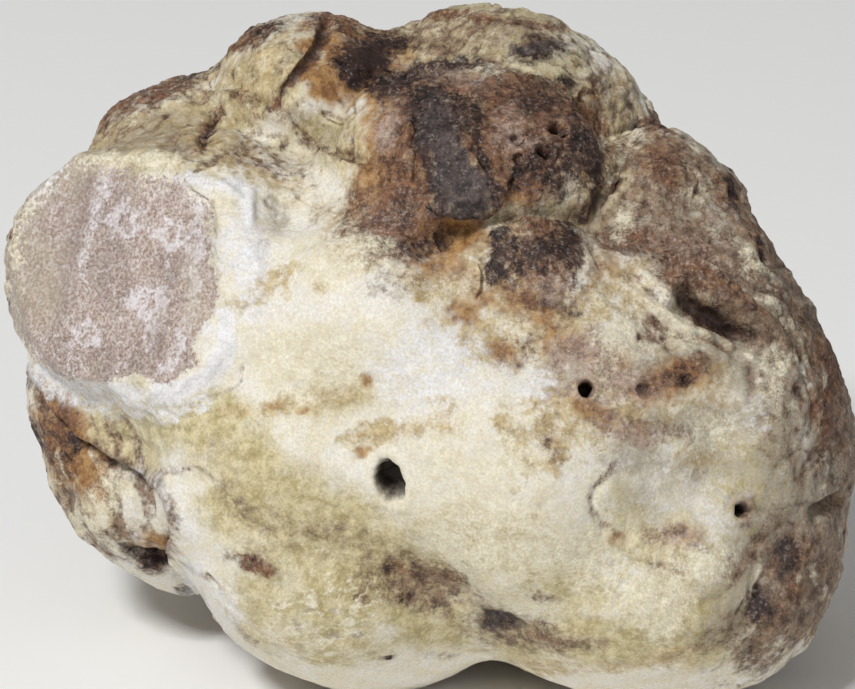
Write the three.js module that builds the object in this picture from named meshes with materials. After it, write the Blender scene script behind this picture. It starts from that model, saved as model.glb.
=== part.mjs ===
// White truffle, one solid fruiting body. Millimetres, +Z up, the front faces -Y.
// The origin is on the ground, under the middle of the body.
//
// The body is a cluster of rounded lobes grown around one core. Each lobe is an ellipsoid
// placed on the body's own leaning axes: U to the right, V up the leaning front, W out of it.
// The skin is the smooth outer reach of all the lobes, seen from the core in every direction.

import * as THREE from 'three';
import { mergeVertices } from 'three/addons/utils/BufferGeometryUtils.js';

const LEAN = THREE.MathUtils.degToRad(22); // how far the front face leans back
const GROUND = -33.8; // height of the ground, seen from the core
const GRID = 28; // cells along each edge of the cube that the skin is spread over
const SOFT_CREASE = 2.8; // softness of the valleys between the front lobes
const SHARP_CREASE = 1.0; // softness of the creases around the outer lobes
const EDGE_SOFTNESS = 0.08; // how gently a lobe falls away past its own outline
const RIM = 0.6; // softness of the worn patch's rim
const SWELL_HEIGHT = 0.45; // height of each wave of the gentle swells in the skin
const SWAY = 0.03; // how far the lobes' outlines wander from true ellipses

const SKIN = { color: 0xd9cfae, roughness: 0.75, metalness: 0.0 };

// Centres and radii along U, V and W, and how far a lobe is rolled about W, in degrees.
// These lobes flow into each other and make up the front mass.
const FRONT_LOBES = {
  frontBody: { centre: [5, -4, 0], radii: [32.5, 25, 26], roll: 0 },
  leftShoulder: { centre: [-26.5, 6.8, 3], radii: [17, 16.4, 18.5], roll: 0 },
  leftBridge: { centre: [-15, -10, 3.5], radii: [16.5, 16.5, 17.5], roll: 0 },
  upperBridge: { centre: [-9, 5, 5], radii: [16, 14, 17.5], roll: 0 },
  leftFoot: { centre: [-11, -23.8, 1.8], radii: [14, 11.4, 15.6], roll: -16 },
  lowerBridge: { centre: [8, -14.5, 3], radii: [20, 16, 19.5], roll: 0 },
  rightFoot: { centre: [20.5, -21.3, 2.6], radii: [18.2, 14.8, 18], roll: 0 },
  rightEnd: { centre: [29.2, -11.3, 0], radii: [12.2, 16.6, 18.5], roll: 0 },
  rightShoulder: { centre: [19.4, 3.5, 1], radii: [13.6, 13, 17], roll: 0 },
  crown: { centre: [1.5, 17, 9], radii: [14.2, 11.2, 13.2], roll: 0 },
};

// These lobes stay apart, with a sharp crease around each.
const OUTER_LOBES = {
  lowerLeft: { centre: [-32.4, -10.3, -8], radii: [17.7, 11.2, 15], roll: 120 },
  upperRight: { centre: [21.9, 15.2, 4], radii: [7.8, 7.8, 9.5], roll: 0 },
  topBackRight: { centre: [5.6, 24.2, -8], radii: [16, 12.4, 14], roll: -4 },
  topBackLeft: { centre: [-14, 24.2, -6], radii: [12.4, 11.6, 12.5], roll: 0 },
  leftBack: { centre: [-29, 17.8, -7], radii: [11.6, 11.4, 12.5], roll: 0 },
  rightBack: { centre: [20.2, 8.6, -10], radii: [10.6, 11.2, 12.5], roll: 0 },
  rearLeft: { centre: [-34.8, 8.6, -8], radii: [12.2, 11.6, 14], roll: 0 },
  rearKnob: { centre: [-24, 1, -20], radii: [11.5, 12, 10], roll: 30 },
  rearMiddle: { centre: [-1, 7, -19], radii: [18.5, 15.5, 13], roll: 20 },
  rearRight: { centre: [21, -7, -16], radii: [17.5, 15.5, 14.5], roll: -30 },
  rearLow: { centre: [2, -17.3, -14], radii: [23, 14.2, 15], roll: 4 },
};

// The worn patch on the left shoulder, where the skin and some flesh are gone.
const PATCH_POINT = new THREE.Vector3(-32, 8, 13.7);
const PATCH_NORMAL = new THREE.Vector3(-0.52, 0.08, 0.85).normalize();

// Waves over the body: how fast each one turns along U, V and W, and where it starts.
const SWELL_WAVES = [
  { turn: new THREE.Vector3(5.1, 3.3, 2.2), start: 0.4 },
  { turn: new THREE.Vector3(-3.7, 5.9, 3.1), start: 2.1 },
  { turn: new THREE.Vector3(2.9, -4.3, 6.7), start: 4.0 },
  { turn: new THREE.Vector3(7.9, 6.1, -4.9), start: 1.3 },
];
const SWAY_WAVES = [
  { turn: new THREE.Vector3(0, 7.3, 4.1), start: 0.7 },
  { turn: new THREE.Vector3(-8.2, 0, 6.1), start: 2.9 },
  { turn: new THREE.Vector3(7.7, 5.3, 0), start: 4.4 },
];

const ROLL_AXIS = new THREE.Vector3(0, 0, 1);

function wave(direction, { turn, start }) {
  return Math.sin(direction.dot(turn) + start);
}

// The direction nudged a little, so that no lobe keeps the outline of a true ellipsoid.
function swayed(direction) {
  const nudge = new THREE.Vector3(...SWAY_WAVES.map((each) => wave(direction, each)));
  return direction.clone().addScaledVector(nudge, SWAY).normalize();
}

function swell(direction) {
  return SWELL_WAVES.reduce((total, each) => total + SWELL_HEIGHT * wave(direction, each), 0);
}

// Distance from the core to the far side of a lobe. Past the lobe's outline it falls away.
function lobeReach(direction, lobe) {
  const roll = THREE.MathUtils.degToRad(-lobe.roll);
  const radii = new THREE.Vector3(...lobe.radii);
  const step = direction.clone().applyAxisAngle(ROLL_AXIS, roll).divide(radii);
  const centre = new THREE.Vector3(...lobe.centre).applyAxisAngle(ROLL_AXIS, roll).divide(radii);
  const along = step.dot(centre) / step.length();
  const overlap = 1 - centre.lengthSq() + along * along;
  const edge = overlap * Math.sqrt((1 + EDGE_SOFTNESS) / (Math.abs(overlap) + EDGE_SOFTNESS));
  return (along + edge) / step.length();
}

function lobeReaches(direction, lobes) {
  return Object.values(lobes).map((lobe) => lobeReach(direction, lobe));
}

// The largest of the values, with the corner between near equals rounded off.
function softLargest(values, softness) {
  const largest = Math.max(...values);
  const sum = values.reduce((total, value) => total + Math.exp((value - largest) / softness), 0);
  return largest + softness * Math.log(sum);
}

function softSmallest(values, softness) {
  return -softLargest(values.map((value) => -value), softness);
}

// Distance from the core to the skin, which the worn patch cuts down to a plane.
function skinReach(direction) {
  const ray = swayed(direction);
  const front = softLargest(lobeReaches(ray, FRONT_LOBES), SOFT_CREASE);
  const skin = softLargest([front, ...lobeReaches(ray, OUTER_LOBES)], SHARP_CREASE) + swell(direction);
  const facing = PATCH_NORMAL.dot(direction);
  if (facing <= 0) {
    return skin;
  }
  return softSmallest([skin, PATCH_NORMAL.dot(PATCH_POINT) / facing], RIM);
}

// A direction for each point of the cube, spread so that the cells come out nearly even.
function cubeDirection(point) {
  const even = (value) => Math.tan((value * Math.PI) / 2);
  return new THREE.Vector3(even(point.x), even(point.y), even(point.z)).normalize();
}

// From the leaning axes to the upright ones, pressed flat where the body meets the ground.
function stand(point) {
  const back = point.y * Math.sin(LEAN) - point.z * Math.cos(LEAN);
  const height = point.y * Math.cos(LEAN) + point.z * Math.sin(LEAN) - GROUND;
  point.set(point.x, back, Math.max(height, 0));
}

function moveOriginUnderMiddle(geometry) {
  geometry.computeBoundingBox();
  const middle = geometry.boundingBox.getCenter(new THREE.Vector3());
  geometry.translate(-middle.x, -middle.y, -geometry.boundingBox.min.z);
}

function truffleGeometry() {
  const cube = new THREE.BoxGeometry(1, 1, 1, GRID, GRID, GRID);
  cube.deleteAttribute('normal');
  cube.deleteAttribute('uv');
  const geometry = mergeVertices(cube);
  const position = geometry.attributes.position;
  const point = new THREE.Vector3();
  for (let index = 0; index < position.count; index += 1) {
    const direction = cubeDirection(point.fromBufferAttribute(position, index));
    point.copy(direction).multiplyScalar(skinReach(direction));
    stand(point);
    position.setXYZ(index, point.x, point.y, point.z);
  }
  moveOriginUnderMiddle(geometry);
  geometry.computeVertexNormals();
  return geometry;
}

const truffle = new THREE.Mesh(truffleGeometry(), new THREE.MeshStandardMaterial(SKIN));
truffle.name = 'truffle';

const group = new THREE.Group();
group.add(truffle);

export default group;
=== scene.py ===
# A white truffle: one knobbly fruiting body, worn to its marbled flesh on the left shoulder.
#
# The imported solid gives the lobes. This script lays a fine skin over it, carves the folds,
# creases, larva holes and pits into that skin, paints its stains, and painted shade in its holes,
# creases, hollows and under its folds, as masks on the vertices, and mixes them in one procedural
# material. Everything is worked out in millimetres, and places on the front are (across, up) on
# the sight plane: the plane through the middle of the truffle that faces the camera.
import math

import bmesh
import bpy
import numpy as np
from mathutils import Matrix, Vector
from mathutils.bvhtree import BVHTree


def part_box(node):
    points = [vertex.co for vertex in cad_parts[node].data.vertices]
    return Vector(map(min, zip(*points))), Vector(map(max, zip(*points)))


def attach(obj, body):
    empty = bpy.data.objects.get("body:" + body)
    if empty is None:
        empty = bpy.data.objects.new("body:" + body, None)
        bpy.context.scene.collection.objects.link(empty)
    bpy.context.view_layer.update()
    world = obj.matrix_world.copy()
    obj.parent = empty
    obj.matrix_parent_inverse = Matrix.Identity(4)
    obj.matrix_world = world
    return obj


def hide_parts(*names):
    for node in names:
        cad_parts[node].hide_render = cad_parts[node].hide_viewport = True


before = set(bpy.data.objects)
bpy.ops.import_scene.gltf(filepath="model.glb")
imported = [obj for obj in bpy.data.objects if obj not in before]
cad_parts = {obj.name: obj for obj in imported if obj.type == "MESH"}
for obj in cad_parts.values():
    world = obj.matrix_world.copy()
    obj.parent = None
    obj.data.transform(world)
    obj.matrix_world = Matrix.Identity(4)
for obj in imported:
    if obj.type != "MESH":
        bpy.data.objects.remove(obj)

MM = 0.001
SIGHT_RISE = math.radians(22)  # how far above the horizon the camera stands
SIGHT_DISTANCE = 450.0  # from the camera to the sight plane
SIGHT_WIDTH = 89.9  # how much of the sight plane the picture takes in
CELLS = 200  # cells along each edge of the cube that the skin is spread over
FRONT_PULL = 0.32  # how strongly the cells crowd towards the camera's side
SETTLE_ROUNDS = 14  # rounds that even the cells out along the surface
SOFTEN_ROUNDS = 3  # rounds that round off what is left of the solid's facets
OFF_SKIN = 0.5  # how far off the skin a line back to the camera starts
FADE_ROUNDS = 120  # at most so many cells past what the camera sees still take the front's paint
FADE = 0.995  # how much of that paint is left from one cell to the next
STAND_LOW, STAND_HIGH = 0.15, 1.2  # between these heights carving sets in, so the flat spots stay flat

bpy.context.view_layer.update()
LOW, HIGH = (np.array(corner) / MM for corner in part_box("truffle"))
MIDDLE = (LOW + HIGH) / 2


# ---------------------------------------------------------------- small maths

def smooth_step(value, low, high):
    """0 below low, 1 above high, and an easy rise between them. High may be under low."""
    rise = np.clip((value - low) / (high - low), 0.0, 1.0)
    return rise * rise * (3.0 - 2.0 * rise)


def unit(vectors):
    return vectors / np.maximum(np.linalg.norm(vectors, axis=-1, keepdims=True), 1e-9)


class Noise:
    """Gradient noise in space, about -1 to 1, the same for the same seed."""

    GAIN = 1.8  # brings the plain noise up to about -1 to 1
    SHIFT = 57.3  # moves the noise's own origin away from the truffle's
    LAYER_SHIFT = 31.7  # keeps the layers from lining up

    def __init__(self, seed):
        draw = np.random.RandomState(seed)
        self.order = draw.permutation(256)
        self.gradients = unit(draw.normal(size=(256, 3)))

    def corner(self, cell, inside, offset):
        i, j, k = ((cell[:, axis] + offset[axis]) & 255 for axis in range(3))
        pick = self.order[(self.order[(self.order[i] + j) & 255] + k) & 255]
        return np.einsum("ij,ij->i", self.gradients[pick], inside - offset)

    def __call__(self, points, size):
        place = points / size + self.SHIFT
        cell = np.floor(place).astype(int)
        inside = place - cell
        ease = inside ** 3 * (inside * (inside * 6 - 15) + 10)
        total = np.zeros(len(points))
        for offset in np.ndindex(2, 2, 2):
            offset = np.array(offset)
            weight = np.prod(np.where(offset == 1, ease, 1 - ease), axis=1)
            total += weight * self.corner(cell, inside, offset)
        return total * self.GAIN

    def layered(self, points, size, layers=3, fade=0.5):
        total = np.zeros(len(points))
        for layer in range(layers):
            total += fade ** layer * self(points + self.LAYER_SHIFT * layer, size / 2 ** layer)
        return total


FORM = Noise(3)
MOTTLE = Noise(11)


# ---------------------------------------------------------------- the body and the ways to look at it

def smooth_body():
    """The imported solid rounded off, as points in millimetres and polygons."""
    shell = bmesh.new()
    shell.from_mesh(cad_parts["truffle"].data)
    bmesh.ops.remove_doubles(shell, verts=shell.verts, dist=0.002 * MM)
    bmesh.ops.join_triangles(
        shell, faces=shell.faces, angle_face_threshold=math.pi, angle_shape_threshold=math.pi
    )
    mesh = bpy.data.meshes.new("smooth_body")
    shell.to_mesh(mesh)
    shell.free()
    body = bpy.data.objects.new("smooth_body", mesh)
    bpy.context.scene.collection.objects.link(body)
    body.modifiers.new("round", "SUBSURF").levels = 2
    bpy.context.view_layer.update()
    rounded = body.evaluated_get(bpy.context.evaluated_depsgraph_get()).to_mesh()
    points = [vertex.co / MM for vertex in rounded.vertices]
    polygons = [tuple(polygon.vertices) for polygon in rounded.polygons]
    bpy.data.objects.remove(body)
    bpy.data.meshes.remove(mesh)
    return points, polygons


BODY = BVHTree.FromPolygons(*smooth_body())


class Sight:
    """A way to look at the truffle. Places on its sight plane are (across, up) in millimetres."""

    def __init__(self, turn, rise):
        self.right = np.array((math.cos(turn), math.sin(turn), 0.0))
        level = np.array((math.sin(turn), -math.cos(turn), 0.0))
        self.out = level * math.cos(rise) + np.array((0.0, 0.0, math.sin(rise)))
        self.up = np.cross(self.out, self.right)
        self.eye = MIDDLE + self.out * SIGHT_DISTANCE

    def seen(self, across, up):
        """The point and normal of the smooth body that shows at a place."""
        aim = MIDDLE + self.right * across + self.up * up
        hit, normal, _, _ = BODY.ray_cast(Vector(self.eye), Vector(unit(aim - self.eye)))
        if hit is None:
            hit, normal, _, _ = BODY.find_nearest(Vector(aim))
        return np.array(hit), np.array(normal)

    def places(self, points):
        """Where points show on the sight plane."""
        away = points - MIDDLE
        grow = SIGHT_DISTANCE / (SIGHT_DISTANCE - away @ self.out)
        return np.stack((away @ self.right * grow, away @ self.up * grow), axis=1)


FRONT = Sight(0.0, SIGHT_RISE)


# ---------------------------------------------------------------- the skin's mesh

def cube_faces(cells):
    """The six faces of a cube as grids of whole-number points, each with its outward turn."""
    steps = np.arange(cells + 1)
    first, second = np.meshgrid(steps, steps, indexing="ij")
    for axis in range(3):
        for side in (0, cells):
            grid = np.empty((cells + 1, cells + 1, 3), int)
            grid[..., axis] = side
            grid[..., (axis + 1) % 3] = first
            grid[..., (axis + 2) % 3] = second
            yield axis, side > 0, grid


# Where each cube face lies on the texture: its axis and side, then left, bottom, right, top.
CHARTS = {
    (1, False): (0.0, 0.0, 0.56, 0.56),  # front
    (2, True): (0.0, 0.56, 0.56, 1.0),  # top
    (0, True): (0.56, 0.0, 1.0, 0.34),  # right
    (0, False): (0.56, 0.34, 1.0, 0.67),  # left
    (2, False): (0.56, 0.67, 0.78, 1.0),  # underside
    (1, True): (0.78, 0.67, 1.0, 1.0),  # back
}
CHART_GAP = 0.004


def cube_skin(cells):
    """Directions, four-sided cells and texture places of a sphere made from a cube."""
    lattice, quads, places = [], [], []
    for axis, outer, grid in cube_faces(cells):
        start = sum(len(block) for block in lattice)
        index = start + np.arange((cells + 1) ** 2).reshape(cells + 1, cells + 1)
        corners = [index[:-1, :-1], index[1:, :-1], index[1:, 1:], index[:-1, 1:]]
        left, bottom, right, top = CHARTS[axis, outer]
        step = np.indices((cells + 1, cells + 1)).reshape(2, -1).T / cells
        low = np.array((left, bottom)) + CHART_GAP
        span = np.array((right, top)) - CHART_GAP - low
        spot = low + step * span
        order = corners if outer else corners[::-1]
        quad = np.stack([corner.ravel() for corner in order], axis=1)
        lattice.append(grid.reshape(-1, 3))
        quads.append(quad)
        places.append(spot[quad - start])
    lattice, same = np.unique(np.concatenate(lattice), axis=0, return_inverse=True)
    spread = np.tan((lattice / cells - 0.5) * (math.pi / 2))
    upright = unit(spread) @ np.stack((FRONT.right, -FRONT.out, FRONT.up))
    directions = unit(upright + FRONT_PULL * FRONT.out)
    return directions, same.ravel()[np.concatenate(quads)], np.concatenate(places)


def outermost(directions):
    """Where lines from the middle of the truffle last leave the smooth body."""
    far = 90.0
    points = np.empty_like(directions)
    for row, direction in enumerate(directions):
        start = Vector(MIDDLE + direction * far)
        hit = BODY.ray_cast(start, Vector(-direction), far)[0]
        points[row] = hit if hit else MIDDLE
    return points


class Skin:
    """The fine skin: its points in millimetres, its normals, and its masks."""

    def __init__(self):
        directions, self.quads, self.places = cube_skin(CELLS)
        self.points = outermost(directions)
        pairs = np.concatenate([self.quads[:, [k, (k + 1) % 4]] for k in range(4)])
        self.edges = np.unique(np.sort(pairs, axis=1), axis=0)
        self.count = np.bincount(self.edges.ravel(), minlength=len(self.points))
        self.masks = {}
        self.settle()
        self.refresh()
        self.home = self.points.copy()
        self.home_sight = FRONT.places(self.home)
        self.ground = smooth_step(self.points[:, 2], STAND_HIGH, STAND_LOW)
        self.shown = self.seen_from_camera()

    def around(self, values):
        """Each point's value replaced by the mean of its neighbours."""
        one, two = self.edges.T
        size = len(self.points)
        columns = values.reshape(size, -1)
        total = np.stack([
            np.bincount(one, column[two], size) + np.bincount(two, column[one], size)
            for column in columns.T
        ], axis=1)
        return (total / self.count[:, None]).reshape(values.shape)

    def settle(self):
        """Evens the cells out along the surface, then lays them back on the body."""
        for _ in range(SETTLE_ROUNDS):
            self.refresh()
            pull = self.around(self.points) - self.points
            lift = np.einsum("ij,ij->i", pull, self.normals)
            self.points += 0.6 * (pull - lift[:, None] * self.normals)
        for row, point in enumerate(self.points):
            self.points[row] = BODY.find_nearest(Vector(point))[0]
        for _ in range(SOFTEN_ROUNDS):
            self.points += 0.5 * (self.around(self.points) - self.points)

    def refresh(self):
        """Works out the normals again."""
        a, b, c, d = (self.points[self.quads[:, k]] for k in range(4))
        face = np.cross(c - a, d - b)
        total = np.stack([
            np.bincount(self.quads.ravel(), np.repeat(face[:, axis], 4), len(self.points))
            for axis in range(3)
        ], axis=1)
        self.normals = unit(total)

    def seen_from_camera(self):
        """1 where the camera sees the skin, fading raggedly to 0 within some millimetres beyond."""
        to_eye = unit(FRONT.eye - self.points)
        shown = np.zeros(len(self.points))
        start = self.points + to_eye * OFF_SKIN
        for row in np.flatnonzero(np.einsum("ij,ij->i", to_eye, self.normals) > -0.05):
            hit = BODY.ray_cast(Vector(start[row]), Vector(to_eye[row]))[0]
            shown[row] = hit is None
        for _ in range(FADE_ROUNDS):
            shown = np.maximum(shown, FADE * self.around(shown))
        ragged = shown * (1 + 0.6 * MOTTLE.layered(self.points, 7.0, 4))
        return smooth_step(ragged, 0.08, 0.4)

    def push(self, rows, amount):
        """Moves points along their normals, by less where the truffle stands."""
        away = amount * (1.0 - self.ground[rows])
        self.points[rows] += away[:, None] * self.normals[rows]

    def paint(self, name, amount, rows=slice(None)):
        """Adds to a mask, which stays between 0 and 1."""
        mask = self.masks.setdefault(name, np.zeros(len(self.points)))
        mask[rows] = 1.0 - (1.0 - mask[rows]) * (1.0 - np.clip(amount, 0.0, 1.0))


skin = Skin()


# ---------------------------------------------------------------- carving tools

def curve(corners, step=0.3):
    """A smooth line through corners on the sight plane, with a point every step."""
    corners = np.array(corners, float)
    before_first = 2 * corners[:1] - corners[1:2]
    after_last = 2 * corners[-1:] - corners[-2:-1]
    ends = np.concatenate((before_first, corners, after_last))
    line = []
    for k in range(1, len(ends) - 2):
        before, start, stop, after = ends[k - 1:k + 3]
        pieces = max(2, math.ceil(np.linalg.norm(stop - start) / step))
        t = np.linspace(0, 1, pieces, endpoint=False)[:, None]
        line.append(0.5 * (
            2 * start + (stop - before) * t
            + (2 * before - 5 * start + 4 * stop - after) * t ** 2
            + (3 * start - before - 3 * stop + after) * t ** 3
        ))
    return np.concatenate(line + [corners[-1:]])


def rows_in_box(points, line, reach):
    """The rows of the points that lie in a line's box, grown by a reach."""
    above = points > line.min(axis=0) - reach
    below = points < line.max(axis=0) + reach
    return np.flatnonzero(np.all(above & below, axis=1))


class Trail:
    """A line on the skin, and the points near it: how far along, how far aside."""

    def __init__(self, corners, reach, sight):
        hits = [sight.seen(*place) for place in curve(corners)]
        line = np.array([point for point, _ in hits])
        facing = unit(np.array([normal for _, normal in hits]))
        ahead = unit(np.gradient(line, axis=0))
        left = unit(np.cross(facing, ahead))
        rows = rows_in_box(skin.points, line, reach)
        gap = skin.points[rows, None, :] - line[None]
        near = np.argmin(np.einsum("ijk,ijk->ij", gap, gap), axis=1)
        gap = gap[np.arange(len(rows)), near]
        height = np.einsum("ij,ij->i", gap, facing[near])
        flat = gap - height[:, None] * facing[near]
        distance = np.linalg.norm(flat, axis=1)
        keep = (distance < reach) & (np.abs(height) < reach * 1.5)
        self.rows = rows[keep]
        self.distance = distance[keep]
        self.left_of = np.einsum("ij,ij->i", flat, left[near])[keep]
        self.toward_left = left[near][keep]
        along = near[keep] / max(1, len(line) - 1)
        self.taper = smooth_step(np.minimum(along, 1 - along), -0.02, 0.16)


def groove(corners, width, depth, sight=FRONT):
    """A crease with a rounded bottom, with painted shade along its walls."""
    trail = Trail(corners, width * 4, sight)
    uneven = 1 + 0.35 * FORM(skin.points[trail.rows], 1.6)
    wall = np.exp(-(trail.distance / (width * uneven)) ** 2)
    skin.push(trail.rows, -depth * wall * trail.taper)
    # painted shade on the crease's walls
    skin.paint("cavity_shade", 0.8 * min(1.0, depth) * wall ** 2 * trail.taper, trail.rows)


def lip(corners, height, reach, overhang=0.0, sight=FRONT):
    """A fold whose left side, going along the corners, lies over its right side, with painted shade under
    it.
    """
    trail = Trail(corners, reach * 4, sight)
    side = trail.left_of + 0.25 * FORM(skin.points[trail.rows], 1.5)
    raised = smooth_step(side, -0.25, 0.25)
    over = np.exp(-np.maximum(side, 0) / reach) * raised
    under = np.exp(np.minimum(side, 0) / (0.45 * reach)) * (1 - raised)
    skin.push(trail.rows, trail.taper * height * (0.6 * over - 0.8 * under))
    lean = overhang * raised * np.exp(-(side / 0.8) ** 2) * trail.taper
    skin.points[trail.rows] -= lean[:, None] * trail.toward_left
    # painted shade under the fold
    skin.paint("cavity_shade", 0.75 * under ** 2 * trail.taper * min(1.0, height), trail.rows)


def turned(across, up, turn=0.0):
    """The same offsets, measured along and beside a line turned by some degrees."""
    angle = math.radians(turn)
    along = across * math.cos(angle) + up * math.sin(angle)
    return along, up * math.cos(angle) - across * math.sin(angle)


def around_place(place, reach, turn, sight):
    """The rows near a place, and how far along and beside it they lie on the skin."""
    point, normal = sight.seen(*place)
    gap = skin.points - point
    rows = np.flatnonzero(np.einsum("ij,ij->i", gap, gap) < reach ** 2)
    gap = gap[rows]
    right = unit(sight.right - normal * (sight.right @ normal))
    return rows, *turned(gap @ right, gap @ np.cross(normal, right), turn)


def pit(place, radii, depth, turn=0.0, dark=1.0, rough=0.18, sight=FRONT):
    """A hole with steep walls and a floor, darkened inside with painted shade as strong as dark."""
    rows, along, aside = around_place(place, max(radii) * 3 + 0.5, turn, sight)
    ring = np.hypot(along / radii[0], aside / radii[1])
    ring += rough * FORM.layered(skin.points[rows], 1.2, 2)
    inside = smooth_step(ring, 1.08, 0.78)
    skin.push(rows, -depth * inside + 0.08 * depth * np.exp(-((ring - 1.35) / 0.3) ** 2))
    # painted shade inside the hole
    skin.paint("cavity_shade", dark * smooth_step(ring, 1.15, 0.85), rows)


def bulge(place, radii, height, turn=0.0, sight=FRONT):
    """A soft swelling, or a hollow if the height is negative."""
    rows, along, aside = around_place(place, max(radii) * 2.6, turn, sight)
    skin.push(rows, height * np.exp(-(along / radii[0]) ** 2 - (aside / radii[1]) ** 2))


# ---------------------------------------------------------------- the shape of the front

def carve_lobes():
    """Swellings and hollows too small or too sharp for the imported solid."""
    bulge((-33, -20), (7, 4), 0.5, -40)
    bulge((-12, 14), (3.5, 5), -1.0, 30)
    bulge((-11.5, 22.5), (3, 3.2), -1.6)
    bulge((-16, 13.6), (1.8, 2.4), -0.7)
    bulge((-14, -21), (9, 2.2), -0.6, -22)
    bulge((8, 13.6), (3.2, 1.3), -1.6, -10)
    bulge((3.2, 11.4), (3.4, 1.7), -3.0, 12)
    bulge((14, 13.4), (4, 1.0), -1.3)
    bulge((18, 12.6), (2.2, 2.2), -1.4)
    bulge((12, 8.6), (6, 3.6), 1.5)
    bulge((24, 17.2), (3.2, 3.4), 0.8)
    bulge((26, 7.5), (7, 2.4), 0.8, -25)
    bulge((36, -7), (3, 5), 0.6)
    bulge((38, -27), (2.4, 4), 0.7, -20)
    bulge((35, -27), (1.8, 4), -0.9, -20)
    bulge((38.5, -22), (2.2, 2.8), -0.7)
    bulge((8, -29.5), (3.4, 1.6), -0.8)
    bulge((-2, -25), (9, 3), -1.0, -25)
    bulge((-14, -17.5), (8, 3), -0.7, -15)
    bulge((2, 20), (3.2, 6.2), -0.9, -25)
    bulge((-26, -9), (8, 3.5), 0.6, -30)
    bulge((21, -28), (8, 4), 0.5)


def carve_folds():
    """Where one lobe's skin laps over the next."""
    lip([(-41, -3.4), (-38, -7.6), (-35, -10.6), (-31, -12.6), (-28.4, -14), (-26.6, -16.4),
         (-26, -19), (-26.4, -22), (-25.4, -24.5), (-23.4, -27)], 3.2, 1.9, 0.7)
    lip([(-5, 18.4), (-10, 20), (-12.5, 21.5), (-15, 24), (-17.5, 25),
         (-20, 26.5), (-25, 26.5), (-29, 25.4)], 1.7, 1.4, 0.3)
    lip([(16, 23), (14.6, 25.6), (13, 27.2), (10, 27.8), (6, 28.6), (3, 29.6),
         (0, 29.2), (-5, 27)], 1.8, 1.3, 0.2)
    lip([(5, 4.5), (5.4, 6.3), (5.4, 7.2), (5.2, 8.5), (4, 9.2), (1.5, 9.8), (0.4, 12)], 1.2, 0.9, 0.4)
    lip([(-0.6, 14.8), (2, 14), (4.5, 13.7), (7, 14.2), (7.8, 16.6), (9.7, 18.5)], 1.6, 1.0, 0.9)
    lip([(17, 12.2), (14, 12.6), (11, 13), (8, 12), (6, 11)], 1.1, 0.9, 0.5)
    lip([(4.6, 25.4), (5, 22), (6.2, 18.6), (7.6, 15.6)], 0.8, 0.8, 0.3)
    lip([(-1.6, 16.6), (-2, 21), (-1.4, 25)], 0.8, 0.8, 0.2)
    lip([(27.4, 14.6), (28, 17.4), (26.4, 20), (24, 21.6)], 0.8, 1.0, 0.3)
    lip([(39, -1), (34, 4.4), (29, 8.6), (23, 11.4)], 0.8, 1.2, 0.3)
    lip([(37.6, 4), (33, 8.2), (28, 12.4)], 0.5, 1.0, 0.2)
    lip([(-25, -12.5), (-22, -14.5), (-20.5, -17), (-19.6, -19.5)], 0.3, 1.4)
    lip([(31.6, 14.8), (31, 17), (30, 19)], 1.1, 0.9, 0.3)
    lip([(35.2, 8.8), (34, 11), (32.5, 12.6)], 1.1, 0.9, 0.3)
    lip([(-16, 25), (-14.4, 27.4), (-11.8, 31), (-10.6, 34.8)], 0.9, 1.2)
    lip([(39, -3), (36, 2.5), (32, 6.5), (27, 9.8), (22, 9.5)], 0.5, 0.7, 0.1)
    lip([(38.4, -6), (37, -1.5), (34, 3.6), (30, 7.2)], 0.45, 0.7, 0.1)
    lip([(20.6, 26.4), (22.2, 24.4), (21.6, 21.6), (19.6, 17.4), (18, 13)], 0.8, 1.0, 0.3)


def carve_creases():
    """Narrow cracks and creases."""
    groove([(18, 12.5), (18.3, 15), (19.3, 16.5), (20.5, 19), (22, 22.5), (22.4, 24),
            (21.5, 25.5), (20.5, 26.5)], 0.55, 1.2)
    groove([(18, 12), (20, 10.3), (21.2, 9.4)], 0.4, 0.8)
    groove([(17.3, 10.8), (17.5, 9), (18.3, 7.4)], 0.35, 0.7)
    groove([(-10.5, 34.8), (-11.5, 31), (-15, 27), (-16, 25)], 0.45, 1.1)
    groove([(26.3, 19.8), (27.3, 18.6), (27.5, 17)], 0.4, 1.1)
    groove([(19.4, -13.6), (17.6, -15.6), (17.7, -18), (19.6, -20)], 0.5, 0.3)
    groove([(25.4, 5.2), (28, 4.2), (31, 2.4), (34.6, 0.2)], 1.5, 3.2)
    groove([(40.4, -17.8), (42, -17), (44.3, -16)], 0.5, 3.0)
    groove([(-32, -21.4), (-29, -22.6), (-25.6, -23.4)], 1.2, 2.6)
    groove([(-23, -11.2), (-21.3, -11.4)], 0.22, 0.35)
    groove([(-24, 20.8), (-23, 22.4), (-22, 24)], 0.5, 1.6)
    groove([(33.6, -2), (34.2, -4), (33.6, -6)], 0.35, 0.5)
    groove([(28.6, -27.6), (30, -26.8), (31.4, -26.6)], 0.5, 0.4)
    groove([(25, 12.6), (31, 10.4), (35, 6.4), (38.6, 1.4), (41, -5)], 0.35, 0.5)
    groove([(27, 14), (33, 11.6), (37, 7)], 0.35, 0.5)
    groove([(21, 8.4), (26, 7.6), (29, 6.8)], 0.35, 0.5)
    groove([(36.4, 4.2), (39, -1), (40.6, -8)], 0.35, 0.5)


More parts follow.
